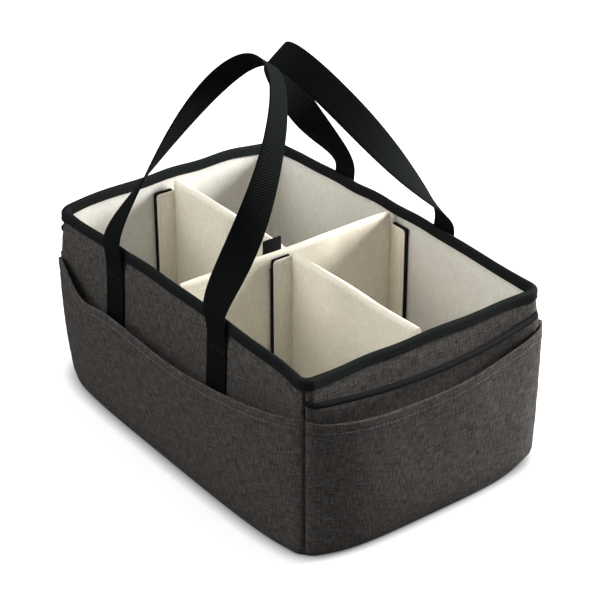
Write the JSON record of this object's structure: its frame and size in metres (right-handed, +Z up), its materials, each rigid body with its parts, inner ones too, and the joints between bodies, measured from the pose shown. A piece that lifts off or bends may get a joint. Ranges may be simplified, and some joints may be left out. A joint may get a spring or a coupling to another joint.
{
  "type": "diaper caddy",
  "caption": "Soft-sided diaper caddy with padded fabric walls, a pocket on each side, webbing handles, elastic cords across the ends and lift-out padded dividers.",
  "frame": {"origin": "centre of the caddy's footprint on its underside", "axes": "+X along the long walls, +Y from the front long wall to the rear one, +Z up"},
  "size_m": [0.4212, 0.2942, 0.3625],
  "materials": {
    "shell_cloth": "heathered woven cloth",
    "foam": "foam padding",
    "lining_cloth": "plain woven lining",
    "base_board": "stiff board",
    "binding": "ribbed tape",
    "webbing": "woven webbing",
    "elastic": "braided elastic",
    "divider_cloth": "brushed loop cloth",
    "tape": "hook and loop tape"
  },
  "bodies": {
    "caddy": {"front_shell": "shell_cloth", "front_foam": "foam", "front_lining": "lining_cloth", "front_pocket": "shell_cloth", "front_wall_loop": "tape", "right_shell": "shell_cloth", "right_foam": "foam", "right_lining": "lining_cloth", "right_pocket": "shell_cloth", "right_wall_loop": "tape", "rear_shell": "shell_cloth", "rear_foam": "foam", "rear_lining": "lining_cloth", "rear_pocket": "shell_cloth", "rear_wall_loop": "tape", "left_shell": "shell_cloth", "left_foam": "foam", "left_lining": "lining_cloth", "left_pocket": "shell_cloth", "left_wall_loop": "tape", "base_cloth": "shell_cloth", "base_board": "base_board", "base_lining": "lining_cloth", "rim_binding": "binding", "front_handle_left_leg": "webbing", "front_handle_right_leg": "webbing", "rear_handle_left_leg": "webbing", "rear_handle_right_leg": "webbing"},
    "front_handle": {"front_handle": "webbing"},
    "rear_handle": {"rear_handle": "webbing"},
    "cross_divider": {"cross_divider_right_loop": "tape", "cross_divider_left_loop": "tape", "cross_divider_cover": "divider_cloth", "cross_divider_core": "foam", "cross_divider_front_hook": "tape", "cross_divider_rear_hook": "tape"},
    "right_divider": {"right_divider_cover": "divider_cloth", "right_divider_core": "foam", "right_divider_inner_hook": "tape", "right_divider_outer_hook": "tape"},
    "left_divider": {"left_divider_cover": "divider_cloth", "left_divider_core": "foam", "left_divider_inner_hook": "tape", "left_divider_outer_hook": "tape"},
    "right_cord": {"right_cord": "elastic"},
    "left_cord": {"left_cord": "elastic"}
  },
  "joints": [
    {"name": "front_handle_swing", "type": "hinge", "parent": "caddy", "child": "front_handle", "pos_m": [0, -0.132, 0.17747], "axis": [1, 0, 0], "range_deg": [0, 173]},
    {"name": "rear_handle_swing", "type": "hinge", "parent": "caddy", "child": "rear_handle", "pos_m": [0, 0.132, 0.17764], "axis": [-1, 0, 0], "range_deg": [0, 178]},
    {"name": "cross_divider_lift", "type": "slide", "parent": "caddy", "child": "cross_divider", "axis": [0, 0, 1], "range_m": [0, 0.138]},
    {"name": "right_divider_lift", "type": "slide", "parent": "caddy", "child": "right_divider", "axis": [0, 0, 1], "range_m": [0, 0.153]},
    {"name": "left_divider_lift", "type": "slide", "parent": "caddy", "child": "left_divider", "axis": [0, 0, 1], "range_m": [0, 0.143]},
    {"name": "right_cord_stretch", "type": "slide", "parent": "caddy", "child": "right_cord", "axis": [1, 0, 0], "range_m": [0, 0.02], "stiffness_N_per_m": 200},
    {"name": "left_cord_stretch", "type": "slide", "parent": "caddy", "child": "left_cord", "axis": [-1, 0, 0], "range_m": [0, 0.02], "stiffness_N_per_m": 200}
  ]
}
